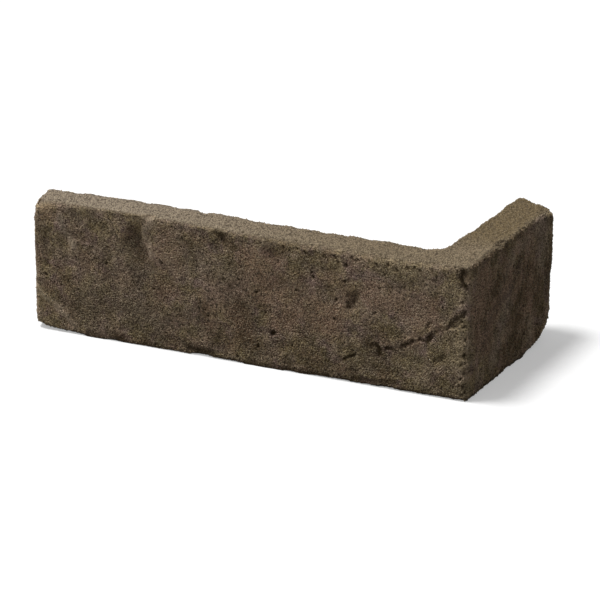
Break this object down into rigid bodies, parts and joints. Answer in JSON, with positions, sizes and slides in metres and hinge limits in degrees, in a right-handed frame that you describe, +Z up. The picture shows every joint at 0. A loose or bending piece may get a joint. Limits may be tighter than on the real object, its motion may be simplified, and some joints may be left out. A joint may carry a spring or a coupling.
{
  "type": "concrete corner brick slip",
  "caption": "Thin L-shaped concrete facing piece with worn arrises that wraps the outer corner of a wall and looks like a whole brick.",
  "frame": {"origin": "middle of the bounding box, on the floor that the lower bed stands on", "axes": "+X along the long leg towards the outer corner, +Y along the return away from the outer corner, +Z up from the lower bed to the upper bed"},
  "size_m": [0.2277, 0.105, 0.0655],
  "materials": {
    "cast_concrete": "rough cast concrete, pigmented brown through the mix, with sandy worn arrises and a darker moulded face"
  },
  "bodies": {
    "root": {"corner_slip": "cast_concrete"}
  },
  "joints": []
}
